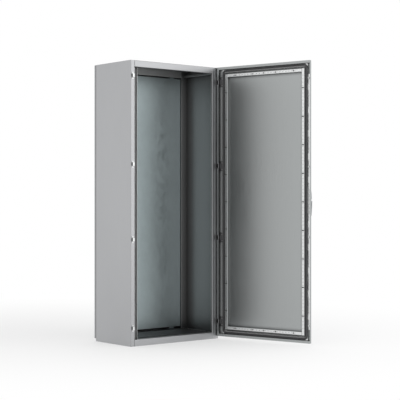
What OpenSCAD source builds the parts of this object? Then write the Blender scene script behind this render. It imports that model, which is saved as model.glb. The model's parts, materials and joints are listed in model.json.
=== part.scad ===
// Floor-standing stainless steel enclosure with one hinged door, shown with the door open.
// Millimetres, +Z up. X runs across the front and +Y runs to the rear.
// The origin is on the floor, at the centre of the four anchor holes in the base.
// Door pieces are drawn shut and then swung open about the hinge axis.

/* [Body] */
// Width over the side walls
body_w = 800; // [600:50:1200]
// Depth of the shell, from the front flange to the rear flange
body_d = 430; // [400:10:600]
// Height over the roof
body_h = 2000; // [1900:20:2200]
// Sheet thickness of the shell
wall = 1.5; // [1.2:0.1:2]
// Outer bend radius of the shell
bend_r = 4; // [3:0.5:5]
// Width of the flanges beside the front and rear openings
flange_w = 34; // [33:1:40]
// Width of the front flange on the hinge side
hinge_flange_w = 60; // [56:1:66]
// Height of the flanges over the openings
head_h = 46; // [40:1:50]
// Depth of the fold behind the flange
fold_d = 14; // [10:1:15]

/* [Base and floor] */
// Height of the base channels
base_h = 46; // [40:1:48]
// Width of the front and side base channels
base_w = 63.5; // [60:0.5:70]
// Width of the rear base channel
rear_base_w = 73.5; // [70:0.5:80]
// Sheet thickness of the base channels
base_wall = 2; // [1.5:0.5:2.5]
// Height of the sills above the base channels
sill_rise = 2; // [2:0.5:10]
// Anchor holes from the side walls
anchor_inset_x = 50; // [40:1:54]
// Anchor holes from the front and rear flanges
anchor_inset_y = 50; // [40:1:54]
// Diameter of the anchor holes
anchor_d = 13; // [10:1:16]
// Thickness of the gland plates
gland_t = 2; // [1.5:0.5:2]
// Thickness of the gasket under the gland plates
gland_gasket_t = 2; // [1:0.5:2]
// How far the gland plates rest on the side channels
gland_lap = 15; // [12:1:20]
// How far the gland plates rest on the front and rear channels
gland_lap_y = 6; // [4:0.5:8]
// Gap between neighbouring gland plates
gland_joint = 0.6; // [0.4:0.1:1]
// Width of the gasket strips along the side channels
gland_strip_w = 11; // [9:0.5:12]
// Gland plate screws from the plate's front and rear edges
gland_screw_end = 18; // [12:1:24]

/* [Inner frame] */
// From the side wall to the front upright on the lock side
upright_inset = 44; // [38:1:60]
// From the side wall to the front upright on the hinge side
hinge_upright_inset = 6; // [4:0.5:8]
// Width of a front upright
upright_w = 24; // [16:1:28]
// Depth of a front upright
upright_d = 40; // [30:1:40]
// Gap between the front fold and the uprights
upright_gap = 2; // [1:0.5:4]
// Sheet thickness of uprights and rails
frame_wall = 1.5; // [1.2:0.1:2]
// Hole pitch in the uprights
upright_pitch = 50; // [25:25:100]
// Diameter of the holes in the uprights
upright_hole_d = 9; // [6:0.5:11]
// Height of the depth rails under the roof
depth_rail_h = 44.5; // [40:0.5:50]
// Width of the depth rails, from the side wall
depth_rail_w = 28; // [26:0.5:34]
// Height of the inner lip of the depth rails
depth_rail_lip = 15; // [10:0.5:20]
// Height of the rear rail under the roof
rear_rail_h = 48.5; // [44:0.5:54]
// Width of the rear posts, from the side wall
post_w = 55; // [50:1:60]
// From the inner edge of the rear base channel to the face of the rear posts
post_setback = 15; // [13:0.5:20]

/* [Mounting plate] */
// Thickness of the mounting plate
plate_t = 3; // [2:0.5:4]
// Gap between the plate's sides and the rear posts
plate_gap = 10; // [6:1:16]
// Plate's face in front of the posts
plate_step = 5; // [3:0.5:6]
// Bottom edge of the plate above the floor
plate_low = 66; // [56:1:72]
// Gap between the plate's top edge and the rear rail
plate_head_gap = 11; // [6:1:16]
// Depth of the plate's folded sides
plate_fold = 12; // [8:1:20]
// Outer bend radius of the plate
plate_bend = 5; // [4.5:0.5:6]
// Distance between the plate's two columns of studs and bolts
plate_bolt_span = 500; // [300:50:560]
// Diameter of the studs and bolts
bolt_d = 8; // [6:1:10]

/* [Rear panel] */
// Depth of the rear panel's pan
rear_d = 16; // [12:1:24]
// Gap between the rear pan and the rear flange
rear_gap = 4; // [3:0.5:6]
// Screws in each column of the rear panel
rear_screw_count = 6; // [4:1:8]
// First and last rear screws from the panel's ends
rear_screw_end = 80; // [50:5:120]

/* [Door] */
// Door edge inset from the side walls
door_inset = 1; // [0.5:0.5:2]
// Bottom edge of the door and rear panel above the floor
door_lift = 20; // [16:1:24]
// Depth of the door with its rim
door_d = 20; // [20:0.5:24]
// Gap between the door's rim and the front flange
door_gap = 4; // [3.5:0.5:6]
// Sheet thickness of the door
door_wall = 1.5; // [1.2:0.1:1.5]
// Width of the rim at the top, bottom and hinge side
rim_w = 18; // [14:1:20]
// Opening angle as shown
open_angle = 104; // [0:1:120]

/* [Door seal] */
// Gap between the lock's racks and the gasket's seat
seat_clear = 0.5; // [0.3:0.1:1]
// Width of the gasket's seat
seat_w = 20; // [16:1:24]
// Height of the gasket's seat
seat_h = 12; // [8:0.5:14]
// Sheet thickness of the gasket's seat
seat_wall = 1.2; // [1:0.1:1.5]
// Width of the foam gasket's bead
gasket_w = 10.5; // [8:0.5:11]
// Thickness of the foam that covers the seat beside the bead
foam_t = 3; // [2:0.5:4]
// Gap left between the gasket and the flange of the shut door
seal_gap = 0.4; // [0.3:0.1:0.8]

/* [Door rails] */
// Cross rails from the door's top and bottom edges
rail_inset = 55; // [48:1:64]
// Gap between the gasket's seat and the upright rails
rail_gap = 3; // [2:0.5:10]
// Width of a rail
rail_w = 22; // [18:1:26]
// Height of a rail above the door's skin
rail_h = 18; // [12:1:18]
// Sheet thickness of a rail
rail_wall = 1.5; // [1:0.1:1.8]
// Hole pitch in the rails
rail_pitch = 25; // [25:25:50]
// Diameter of the small holes in the rails
rail_hole_d = 5; // [3:0.5:7]
// Diameter of the large holes in the cross rails
rail_port_d = 10; // [8:0.5:12]
// Pitch of the cross slots in the upright rails
slot_pitch = 200; // [100:50:250]
// Height of the cross slots
slot_h = 7; // [4:0.5:9]
// Inner pair of large holes from the middle of a cross rail
port_inner = 100; // [60:5:120]
// Outer pair of large holes from the middle of a cross rail
port_outer = 250; // [180:5:270]

/* [Hinges] */
// Hinge axis from the door's edge
hinge_edge = 8; // [6.5:0.5:8.5]
// Hinge axis in front of the door's rim
hinge_depth = 10; // [8.5:0.25:10.5]
// Diameter of the hinge pins
pin_d = 5; // [4:0.5:5.5]
// Radius of the hinge knuckles
knuckle_r = 4.5; // [4:0.25:4.5]
// Height of a body knuckle
body_knuckle_h = 34; // [30:1:40]
// Height of a door knuckle
door_knuckle_h = 16; // [12:1:20]
// Running clearance around pins and spindles
run_gap = 0.05; // [0.03:0.01:0.08]
// Outer hinges and lock points from the door's ends
outer_point = 108; // [95:1:160]
// Inner hinges and lock points from the door's middle
inner_point = 263; // [225:1:275]

/* [Lock] */
// Lock rods and spindle from the door's edge
lock_edge = 13; // [12.5:0.25:14]
// Height of the lock spindle above the door's middle
lock_rise = 0; // [0:1:30]
// Width of a lock rod
rod_w = 12; // [10:0.5:12]
// Thickness of a lock rod
rod_t = 4; // [3:0.5:4]
// Module of the lock pinion
gear_module = 1; // [0.9:0.05:1]
// Diameter of the lock spindle
spindle_d = 7; // [5:0.5:7]
// Diameter of a lock roller
roller_d = 8; // [7:0.5:8]
// First rod guide from the door's middle
guide_first = 155; // [130:1:160]
// Pitch of the rod guides
guide_pitch = 162; // [158:1:166]
// Length of a rod guide
guide_h = 45; // [30:1:45]

/* [Handle] */
// Length of the handle's base plate
escutcheon_h = 180; // [150:5:200]
// Width of the handle's base plate
escutcheon_w = 20; // [18:0.5:20]
// Thickness of the handle's base plate
escutcheon_t = 6; // [4:0.5:8]
// How far the lever stands out from the door
lever_out = 21; // [20:1:30]
// Length of the lever below the spindle
lever_len = 100; // [80:5:120]
// Width of the lever
lever_w = 15; // [12:0.5:17]
// Thickness of the lever
lever_t = 9; // [7:0.5:10]
// Diameter of the key insert
insert_d = 11; // [9:0.5:12]

/* [Hidden] */
$fn = 48;
cut = 1;
joint_gap = 0.2;
seat_gap = 0.3;
hole_gap = 0.4;
bend_steps = 4;

// Planes of the shell
half_w = body_w / 2;
half_d = body_d / 2;
front_y = -half_d;
rear_y = half_d;
inner_x = half_w - wall;
inner_y = half_d - wall;
roof_z = body_h - wall;
fold_y = front_y + fold_d;

// Openings
open_x = half_w - flange_w;
hinge_open_x = half_w - hinge_flange_w;
hinge_shift = hinge_flange_w - flange_w;
open_z0 = base_h + sill_rise;
open_z1 = body_h - head_h;

// Base
base_x1 = inner_x - base_w;
base_y0 = -inner_y + base_w;
base_y1 = inner_y - rear_base_w;
anchor_x = half_w - anchor_inset_x;
anchor_y = half_d - anchor_inset_y;
base_bend = base_wall + 1.5;
gland_x = base_x1 + gland_lap;
gland_y0 = base_y0 - gland_lap_y;
gland_y1 = base_y1 + gland_lap_y;
gland_z = base_h + gland_gasket_t;
gland_depth = (gland_y1 - gland_y0) / 3;
gland_screw_d = 5;
gland_screw_inset = 7;

// Inner frame
lock_upright_x = half_w - upright_inset;
hinge_upright_x = half_w - hinge_upright_inset;
upright_y0 = fold_y + upright_gap;
upright_y1 = upright_y0 + upright_d;
frame_bend = frame_wall + 1.5;
upright_hole_y = 11;
rear_leg_y = half_d - fold_d - seat_gap;
depth_rail_z = roof_z - depth_rail_h;
rear_rail_z = roof_z - rear_rail_h;
post_x = half_w - post_w;
post_y = base_y1 + post_setback;

// Mounting plate
plate_x = post_x - plate_gap;
plate_y = post_y - plate_step;
plate_back_y = plate_y + plate_t;
plate_z1 = rear_rail_z - plate_head_gap;
bracket_t = 3;
bracket_w = 40;
bracket_h = 60;
bolt_edge = 12;
bracket_clear = 10;
bracket_leg = half_d - fold_d - bracket_clear - plate_back_y;
bracket_bend = bracket_t + 1.5;
bracket_bolt_y = plate_back_y + bracket_leg - bolt_edge;
plate_bolt_low = plate_low + 30;
plate_bolt_high = plate_z1 - 32;

// Door
door_x = half_w - door_inset;
door_lo = [-door_x, door_lift];
door_hi = [door_x, body_h];
door_mid_z = (door_lift + body_h) / 2;
rim_y = front_y - door_gap;
face_y = rim_y - door_d;
skin_y = face_y + door_wall;
hinge_x = door_x - hinge_edge;
hinge_y = rim_y - hinge_depth;

// Rear panel
rear_rim_y = rear_y + rear_gap;
rear_face_y = rear_rim_y + rear_d;
rear_screw_d = 5;
rear_screw_x = door_x - 12;

// Hinges and lock points
outer_z = (body_h - door_lift) / 2 - outer_point;
lock_points = [inner_point, outer_z];
hinge_points = [-outer_z, -inner_point, inner_point, outer_z];
knuckle_gap = 0.5;
leaf_t = 3;
base_leaf_t = 2.5;
base_leaf_x0 = 14;
base_leaf_x1 = 2;
leaf_h = body_knuckle_h + 2 * door_knuckle_h + 2 * knuckle_gap;
leaf_clear = 1.5;
leaf_hole_d = 10;
rivet_d = 9;
rivet_h = 2.5;
leaf_x1 = 5;
notch_h = body_knuckle_h + 6;
hinge_screw_d = 4;
hinge_screw_x = hinge_x - 7.5;
hinge_screw_z = body_knuckle_h / 2 - 6;
pin_head_d = 8;
pin_head_t = 2;

// Lock train
rod_x = -door_x + lock_edge;
lock_z = door_mid_z + lock_rise;
gear_teeth = 12;
gear_r = gear_module * gear_teeth / 2;
pressure_angle = 25;
tooth_height = 0.8 * gear_module;
tooth_root = 1.05 * gear_module;
backlash = 0.3;
tooth_pitch = PI * gear_module;
rod_travel = gear_r * PI / 2;
rack_back = 2.45;
rack_x = gear_r + tooth_root + rack_back;
rack_teeth = 9;
seat_inset = lock_edge + rack_x + seat_clear;
leaf_x0 = seat_inset + hinge_shift - hinge_edge - leaf_clear;
rivet_x = hinge_x - leaf_x0 + 12;
rivet_z = leaf_h / 2 - 10;
rod_y0 = skin_y + 2;
rod_y1 = rod_y0 + rod_t;
rod_start = (rack_teeth / 2 + 0.5) * tooth_pitch + 8;
shoulder_h = 8;
rod_tail = 13;
rod_end = outer_z + rod_tail;

// Foam from the edges of its seat
foam_inset = 0.5;

// Catches and rollers; the catch holds the roller between its tongue and its base
catch_base_t = 2.5;
catch_gap = 0.5;
roller_y = front_y - catch_base_t - catch_gap - roller_d / 2;
tongue_y1 = roller_y - roller_d / 2 - catch_gap;
tongue_t = 2.5;
tongue_half_h = 12;
catch_half_h = 24;
catch_x0 = -5;
catch_leg_x = 3.5;
catch_leg_t = 5;
ear_t = 2.5;
ear_x = -rod_w / 2;
ear_half_h = 6;
roller_end = catch_leg_x - 1;
roller_short = tongue_half_h + roller_d / 2 + 1;

// Guides and lock cover
guide_gap = 0.4;
guide_wall = 1.6;
guide_clear = 2;
guide_last = outer_z - roller_short - ear_half_h - guide_clear - guide_h / 2;
guide_count = floor((guide_last - guide_first) / guide_pitch) + 1;
cover_t = 1.5;
cover_y = rod_y1 + 1;
cover_half_h = 88;
cover_windows = [-56, -28, 28, 56];
cover_window_r = 7;
cover_x0 = -rack_x - 1;
cover_x1 = rack_x;
post_d = 3;
cover_post_z = 80;
cover_post_x = rod_w / 2 + 0.5 + post_d / 2;

// Handle
escutcheon_top = 90;
escutcheon_y = face_y - escutcheon_t;
lever_y0 = face_y - lever_out;
lever_y1 = lever_y0 + lever_t;
hub_d = lever_w + 3;
hub_gap = 0.5;
insert_depth = 6;
spindle_seat = 5;

// Colours
steel = [0.72, 0.72, 0.72];
brushed = [0.66, 0.67, 0.67];
zinc = [0.60, 0.65, 0.65];
bright = [0.85, 0.86, 0.86];
black = [0.10, 0.10, 0.10];
die_cast = [0.30, 0.30, 0.31];

// Points on an arc
function arc(c, r, a0, a1) =
    [for (i = [0 : bend_steps]) let (a = a0 + (a1 - a0) * i / bend_steps) c + r * [cos(a), sin(a)]];

// Outline of a rectangle with all four corners rounded
function rounded_outline(lo, hi, r) = concat(
    arc([hi.x - r, hi.y - r], r, 0, 90),
    arc([lo.x + r, hi.y - r], r, 90, 180),
    arc([lo.x + r, lo.y + r], r, 180, 270),
    arc([hi.x - r, lo.y + r], r, 270, 360));

function unit(v) = v / norm(v);

function reversed(list) = [for (i = [len(list) - 1 : -1 : 0]) list[i]];

// Quarter bend at corner p, from direction u to direction v
function bend(p, u, v, r) =
    [for (i = [0 : bend_steps]) let (t = 90 * i / bend_steps)
        p + r * (v - u) + r * (u * sin(t) - v * cos(t))];

// Outline of a sheet folded along a path whose right-angled bends all turn the same way
function folded(path, sheet, r) =
    let (last = len(path) - 1,
        dir = [for (i = [0 : last - 1]) unit(path[i + 1] - path[i])],
        outer = [for (i = [1 : last - 1]) each bend(path[i], dir[i - 1], dir[i], r)],
        inner = [for (i = [last - 1 : -1 : 1])
            each reversed(bend(path[i] + sheet * (dir[i] - dir[i - 1]), dir[i - 1], dir[i], r - sheet))])
    concat([path[0]], outer,
        [path[last], path[last] - sheet * dir[last - 2]], inner, [path[0] + sheet * dir[1]]);

// Box between two corners
module block(lo, hi) {
    translate(lo) cube(hi - lo);
}

// Extrude an XY outline along Z
module along_z(z0, z1) {
    translate([0, 0, z0]) linear_extrude(z1 - z0) children();
}

// Extrude an XZ outline along Y
module along_y(y0, y1) {
    translate([0, y1, 0]) rotate([90, 0, 0]) linear_extrude(y1 - y0) children();
}

// Extrude a YZ outline along X
module along_x(x0, x1) {
    translate([x0, 0, 0]) rotate([90, 0, 90]) linear_extrude(x1 - x0) children();
}

// Round bars along each axis
module bar_x(y, z, d, x0, x1) {
    translate([x0, y, z]) rotate([0, 90, 0]) cylinder(d = d, h = x1 - x0);
}

module bar_y(x, z, d, y0, y1) {
    translate([x, y1, z]) rotate([90, 0, 0]) cylinder(d = d, h = y1 - y0);
}

module bar_z(x, y, d, z0, z1) {
    translate([x, y, z0]) cylinder(d = d, h = z1 - z0);
}

// Four strips that follow the door's outline between two insets, with a hair gap at each corner
module strips(inset0, inset1, y0, y1, shift = 0) {
    for (z = [door_lo.y + inset0, door_hi.y - inset1])
        block([door_lo.x + inset0, y0, z], [door_hi.x - inset0 - shift, y1, z + inset1 - inset0]);
    for (x = [door_lo.x + inset0, door_hi.x - inset1 - shift])
        block([x, y0, door_lo.y + inset1 + joint_gap],
            [x + inset1 - inset0, y1, door_hi.y - inset1 - joint_gap]);
}

// Swing a piece that is drawn shut to the shown opening angle
module on_door() {
    translate([hinge_x, hinge_y, 0]) rotate([0, 0, open_angle]) translate([-hinge_x, -hinge_y, 0]) children();
}

// Socket-head screw along +Z with the underside of its head at z = 0 and the shank below
module screw(d, length) {
    head_h = 0.6 * d;
    difference() {
        union() {
            cylinder(d = 1.7 * d, h = head_h);
            translate([0, 0, -length]) cylinder(d = d, h = length + head_h / 2);
        }
        translate([0, 0, head_h / 2]) cylinder(d = 0.85 * d, h = head_h, $fn = 6);
    }
}

// Shell

// Outline of the space inside the shell, seen from above
module inside_outline() {
    polygon(rounded_outline([-inner_x, -inner_y], [inner_x, inner_y], bend_r));
}

// Folded side wall with its front flange to front_x and its rear flange.
// The fold stops short of the base and the roof plate.
module left_side(front_x) {
    path = [[-front_x, fold_y], [-front_x, front_y], [-half_w, front_y],
        [-half_w, rear_y], [-open_x, rear_y]];
    notch_x0 = -front_x - bend_r - cut;
    color(steel) difference() {
        along_z(0, body_h) polygon(folded(path, wall, bend_r));
        block([notch_x0, -inner_y, -cut], [-front_x + cut, fold_y + cut, base_h + joint_gap]);
        block([notch_x0, -inner_y, roof_z - joint_gap], [-front_x + cut, fold_y + cut, body_h + cut]);
        for (z = rear_screw_rows())
            bar_y(-rear_screw_x, z, rear_screw_d + hole_gap, rear_y - wall - cut, rear_y + cut);
        children();
    }
}

module left_side_panel() {
    left_side(open_x);
}

module right_side_panel() {
    mirror([1, 0, 0]) left_side(hinge_open_x) hinge_screw_holes(front_y + wall + cut);
}

// Roof with folded skirts over the two openings; its plate runs on between the side walls
module roof_panel() {
    path = [[-half_d + fold_d, open_z1], [-half_d, open_z1], [-half_d, body_h], [half_d, body_h],
        [half_d, open_z1], [half_d - fold_d, open_z1]];
    color(steel) difference() {
        union() {
            difference() {
                along_x(-open_x, open_x) polygon(folded(path, wall, bend_r));
                block([hinge_open_x, -half_d - cut, open_z1 - cut], [half_w, fold_y + cut, body_h + cut]);
            }
            along_z(roof_z, body_h) inside_outline();
        }
        for (p = roof_points)
            bar_z(p.x, p.y, roof_hole_d, roof_z - cut, body_h + cut);
    }
}

// Folded strip below an opening that ends at x1
module sill(x1) {
    color(steel) along_x(-open_x, x1)
        polygon(folded([[front_y, 0], [front_y, open_z0], [fold_y, open_z0]], wall, bend_r));
}

module front_sill() {
    sill(hinge_open_x);
}

module rear_sill() {
    mirror([0, 1, 0]) sill(open_x);
}

// Plugs for the four lifting-eye holes
roof_hole_d = 13;
plug_inset_x = 30;
plug_inset_y = 35;
roof_points = [for (x = [-1, 1], y = [-1, 1]) [x * (half_w - plug_inset_x), y * (half_d - plug_inset_y)]];

module roof_plugs() {
    head_d = 24;
    head_h = 2.5;
    depth = 8;
    color(bright) for (p = roof_points) {
        translate([p.x, p.y, body_h]) cylinder(d1 = head_d, d2 = head_d - 4, h = head_h);
        bar_z(p.x, p.y, roof_hole_d - seat_gap, body_h - depth, body_h + head_h / 2);
    }
}

// Base

// Channel along X, open towards the middle of the base; y0 is its outer face and y1 its inner edge
module cross_channel(y0, y1) {
    path = [[y1, 0], [y0, 0], [y0, base_h], [y1, base_h]];
    intersection() {
        along_x(-inner_x, inner_x) polygon(folded(path, base_wall, base_bend));
        along_z(-cut, base_h + cut) inside_outline();
    }
}

module anchor_holes() {
    for (x = [-anchor_x, anchor_x], y = [-anchor_y, anchor_y])
        bar_z(x, y, anchor_d, -cut, base_h + cut);
}

module gland_screw_holes() {
    for (p = gland_screw_points)
        bar_z(p.x, p.y, gland_screw_d + hole_gap, base_h - base_wall - cut, gland_z + gland_t + cut);
}

module base_rail_front() {
    color(steel) difference() {
        cross_channel(-inner_y, base_y0);
        anchor_holes();
    }
}

module base_rail_rear() {
    color(steel) difference() {
        mirror([0, 1, 0]) cross_channel(-inner_y, -base_y1);
        anchor_holes();
        for (x = [-plate_bolt_span / 2, plate_bolt_span / 2])
            bar_z(x, bracket_bolt_y, bolt_d + hole_gap, base_h - base_wall - cut, base_h + cut);
    }
}

module base_rail() {
    path = [[-base_x1, 0], [-inner_x, 0], [-inner_x, base_h], [-base_x1, base_h]];
    color(steel) difference() {
        along_y(base_y0, base_y1) polygon(folded(path, base_wall, base_bend));
        gland_screw_holes();
    }
}

module base_rail_left() {
    base_rail();
}

module base_rail_right() {
    mirror([1, 0, 0]) base_rail();
}

// Gasket strips on the rim of the base opening
module gland_gasket() {
    color(black) difference() {
        union() {
            for (x = [-gland_x, gland_x - gland_strip_w])
                block([x, base_y0, base_h], [x + gland_strip_w, base_y1, gland_z]);
            for (y = [gland_y0, base_y1 + joint_gap])
                block([-gland_x, y, base_h], [gland_x, y + gland_lap_y - joint_gap, gland_z]);
        }
        gland_screw_holes();
    }
}

// Low Y edge of gland plate i, counted from the front
function gland_edge(i) = gland_y0 + i * gland_depth;

gland_screw_points = [
    for (i = [0 : 2], x = [-1, 1], y = [gland_edge(i) + gland_screw_end, gland_edge(i + 1) - gland_screw_end])
        [x * (gland_x - gland_screw_inset), y]];

module gland_plate(i) {
    color(steel) difference() {
        block([-gland_x, gland_edge(i) + gland_joint / 2, gland_z],
            [gland_x, gland_edge(i + 1) - gland_joint / 2, gland_z + gland_t]);
        gland_screw_holes();
    }
}

module gland_plate_front() {
    gland_plate(0);
}

module gland_plate_middle() {
    gland_plate(1);
}

module gland_plate_rear() {
    gland_plate(2);
}

module gland_screws() {
    color(bright) for (p = gland_screw_points)
        translate([p.x, p.y, gland_z + gland_t])
            screw(gland_screw_d, gland_t + gland_gasket_t + base_wall + 4);
}

// Inner frame

// Heights of the holes in the punched uprights
upright_rows = [for (z = [base_h + upright_pitch : upright_pitch : rear_rail_z - upright_pitch / 2]) z];

// Channel with its open side to the front; x1 is its outer edge
module front_upright(x1, z1) {
    x0 = x1 - upright_w;
    path = [[-x1, upright_y0], [-x1, upright_y1], [-x0, upright_y1], [-x0, upright_y0]];
    color(brushed) along_z(base_h, z1) polygon(folded(path, frame_wall, frame_bend));
}

// The lock-side upright is punched and reaches the roof
module upright_front_left() {
    hole_x = upright_w - lock_upright_x;
    difference() {
        front_upright(lock_upright_x, roof_z);
        for (z = upright_rows)
            bar_x(upright_y1 - upright_hole_y, z, upright_hole_d, hole_x - frame_wall - cut, hole_x + cut);
    }
}

// The hinge-side upright stands behind the flange, under the depth rail
module upright_front_right() {
    mirror([1, 0, 0]) front_upright(hinge_upright_x, depth_rail_z);
}

// Angle in a rear corner; its wide leg faces the front and its other leg stops short of the rear folds
module rear_post() {
    path = [[-inner_x, post_y], [-post_x, post_y], [-post_x, rear_leg_y]];
    hole_x = -post_x - frame_wall - cut;
    color(brushed) difference() {
        along_z(base_h, roof_z) polygon(folded(path, frame_wall, frame_bend));
        for (z = upright_rows)
            bar_x((post_y + rear_leg_y) / 2, z, upright_hole_d, hole_x, -post_x + cut);
    }
}

module upright_rear_left() {
    rear_post();
}

module upright_rear_right() {
    mirror([1, 0, 0]) rear_post();
}

// Rail in the corner between side wall and roof, back to the rear post, with a lip on its inner edge
module depth_rail() {
    lip_x = depth_rail_w - inner_x;
    path = [[-inner_x, roof_z], [-inner_x, depth_rail_z],
        [lip_x, depth_rail_z], [lip_x, depth_rail_z + depth_rail_lip]];
    color(brushed) along_y(upright_y0, post_y) polygon(folded(path, frame_wall, frame_bend));
}

module top_rail_left() {
    depth_rail();
}

module top_rail_right() {
    mirror([1, 0, 0]) depth_rail();
}

// Angle under the roof between the rear posts
module top_rail_rear() {
    path = [[post_y, roof_z], [post_y, rear_rail_z], [rear_leg_y, rear_rail_z]];
    color(brushed) difference() {
        along_x(-post_x, post_x) polygon(folded(path, frame_wall, frame_bend));
        for (x = [-plate_bolt_span / 2, plate_bolt_span / 2])
            bar_z(x, bracket_bolt_y, bolt_d + hole_gap, rear_rail_z - cut, rear_rail_z + frame_wall + cut);
    }
}

// Mounting plate

// Plain plate with folded sides, held from behind by welded studs
module mounting_plate() {
    back = plate_y + plate_fold;
    path = [[-plate_x, back], [-plate_x, plate_y], [plate_x, plate_y], [plate_x, back]];
    color(zinc) along_z(plate_low, plate_z1) polygon(folded(path, plate_t, plate_bend));
}

// Bracket behind the plate, with one leg on the plate and one on the surface at height z
module plate_bracket(side, z, up) {
    x = side * plate_bolt_span / 2;
    path = [[plate_back_y, z + up * bracket_h], [plate_back_y, z], [plate_back_y + bracket_leg, z]];
    color(zinc) difference() {
        along_x(x - bracket_w / 2, x + bracket_w / 2) polygon(folded(path, bracket_t, bracket_bend));
        bar_y(x, up > 0 ? plate_bolt_low : plate_bolt_high, bolt_d + hole_gap,
            plate_back_y - cut, plate_back_y + bracket_t + cut);
        bar_z(x, bracket_bolt_y, bolt_d + hole_gap, z - bracket_t - cut, z + bracket_t + cut);
    }
}

module plate_foot_left() {
    plate_bracket(-1, base_h, 1);
}

module plate_foot_right() {
    plate_bracket(1, base_h, 1);
}

module plate_hanger_left() {
    plate_bracket(-1, rear_rail_z, -1);
}

module plate_hanger_right() {
    plate_bracket(1, rear_rail_z, -1);
}

// Studs on the plate's back with their nuts, and bolts that hold the brackets down on the base and up
// under the rear rail
module plate_bolts() {
    nut_d = 1.8 * bolt_d;
    nut_t = 0.8 * bolt_d;
    nut_y = plate_back_y + bracket_t;
    color(bright) for (x = [-plate_bolt_span / 2, plate_bolt_span / 2]) {
        for (z = [plate_bolt_low, plate_bolt_high]) {
            bar_y(x, z, bolt_d, plate_back_y, nut_y + nut_t + bolt_d / 4);
            translate([x, nut_y, z]) rotate([-90, 0, 0]) cylinder(d = nut_d, h = nut_t, $fn = 6);
        }
        translate([x, bracket_bolt_y, base_h + bracket_t]) screw(bolt_d, bracket_t + base_wall + 8);
        translate([x, bracket_bolt_y, rear_rail_z - bracket_t]) mirror([0, 0, 1])
            screw(bolt_d, bracket_t + frame_wall + 8);
    }
}

// Rear panel and door pan

// Section of a pan with its two face edges bent round, the face on the low first coordinate
function edge_outline(lo, hi, r) = concat(
    [[hi.x, lo.y], hi],
    arc([lo.x + r, hi.y - r], r, 90, 180),
    arc([lo.x + r, lo.y + r], r, 180, 270));

// Section of a pan with its two face edges bent round, the face on the low second coordinate
function plan_outline(lo, hi, r) = concat(
    [hi, [lo.x, hi.y]],
    arc([lo.x + r, lo.y + r], r, 180, 270),
    arc([hi.x - r, lo.y + r], r, 270, 360));

// Pan whose face looks to -Y; rim is the inward turn at the top, bottom and +X side
module pan(y0, depth, sheet, rim) {
    r = 2 * sheet;
    y1 = y0 + depth;
    difference() {
        intersection() {
            along_y(y0, y1) polygon(rounded_outline(door_lo, door_hi, r));
            along_x(-door_x, door_x) polygon(edge_outline([y0, door_lo.y], [y1, door_hi.y], r));
            along_z(door_lo.y, door_hi.y) polygon(plan_outline([-door_x, y0], [door_x, y1], r));
        }
        block([door_lo.x + sheet, y0 + sheet, door_lo.y + sheet],
            [door_hi.x - sheet, y1 - sheet, door_hi.y - sheet]);
        block([door_lo.x + sheet, y0 + sheet, door_lo.y + rim],
            [door_hi.x - rim, y1 + cut, door_hi.y - rim]);
    }
}

// Heights of the rear panel's screws
function rear_screw_rows() = [
    for (i = [0 : rear_screw_count - 1])
        door_mid_z + (i / (rear_screw_count - 1) - 0.5) * (body_h - door_lift - 2 * rear_screw_end)];

module rear_panel() {
    color(steel) difference() {
        mirror([0, 1, 0]) pan(-rear_face_y, rear_d, wall, wall);
        for (x = [-rear_screw_x, rear_screw_x], z = rear_screw_rows())
            bar_y(x, z, rear_screw_d + hole_gap, rear_face_y - wall - cut, rear_face_y + cut);
    }
}

module rear_gasket() {
    color(black) strips(seat_inset, seat_inset + gasket_w, rear_y, rear_face_y - wall);
}

module rear_panel_screws() {
    color(bright) for (x = [-rear_screw_x, rear_screw_x], z = rear_screw_rows())
        translate([x, rear_face_y, z]) rotate([-90, 0, 0]) screw(rear_screw_d, rear_d + rear_gap + wall + 5);
}

module door_panel() {
    color(steel) on_door() difference() {
        pan(face_y, door_d, door_wall, rim_w);
        for (p = hinge_points)
            block([door_x - rim_w - cut, skin_y, door_mid_z + p - notch_h / 2],
                [door_x + cut, rim_y + cut, door_mid_z + p + notch_h / 2]);
        bar_y(rod_x, lock_z, spindle_d + 3, face_y - cut, skin_y + cut);
    }
}

// Folded seat that lifts the gasket off the skin
module gasket_seat() {
    color(brushed) on_door() difference() {
        strips(seat_inset, seat_inset + seat_w, skin_y, skin_y + seat_h, hinge_shift);
        strips(seat_inset + seat_wall, seat_inset + seat_w - seat_wall,
            skin_y - cut, skin_y + seat_h - seat_wall, hinge_shift);
    }
}

// Foam gasket: a thin layer on the seat with a bead along its outer edge, narrower at the crown.
// The bead stops just short of the flange.
module door_gasket() {
    y0 = skin_y + seat_h;
    y2 = front_y - seal_gap;
    y1 = y2 - foam_t;
    in0 = seat_inset + foam_inset;
    in1 = seat_inset + seat_w - foam_inset;
    bead = in0 + gasket_w;
    crown = gasket_w / 5;
    color(black) on_door() {
        strips(in0, in1, y0, y0 + foam_t, hinge_shift);
        intersection() {
            union() {
                strips(in0, bead, y0, y1, hinge_shift);
                strips(in0 + crown, bead - crown, y1 - cut, y2, hinge_shift);
            }
            strips(in0, in1, y0, y2, hinge_shift);
        }
    }
}

// Door rails, channels with their open side on the skin

rail_bend = rail_wall + 1.2;
rail_y = skin_y + rail_h;
rail_z0 = door_lo.y + rail_inset;
rail_z1 = door_hi.y - rail_inset;
rail_lock = seat_inset + seat_w + rail_gap;
lock_rail_x = -door_x + rail_lock;
hinge_rail_x = door_x - rail_lock - hinge_shift - rail_w;
rail_end = 30;

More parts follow.
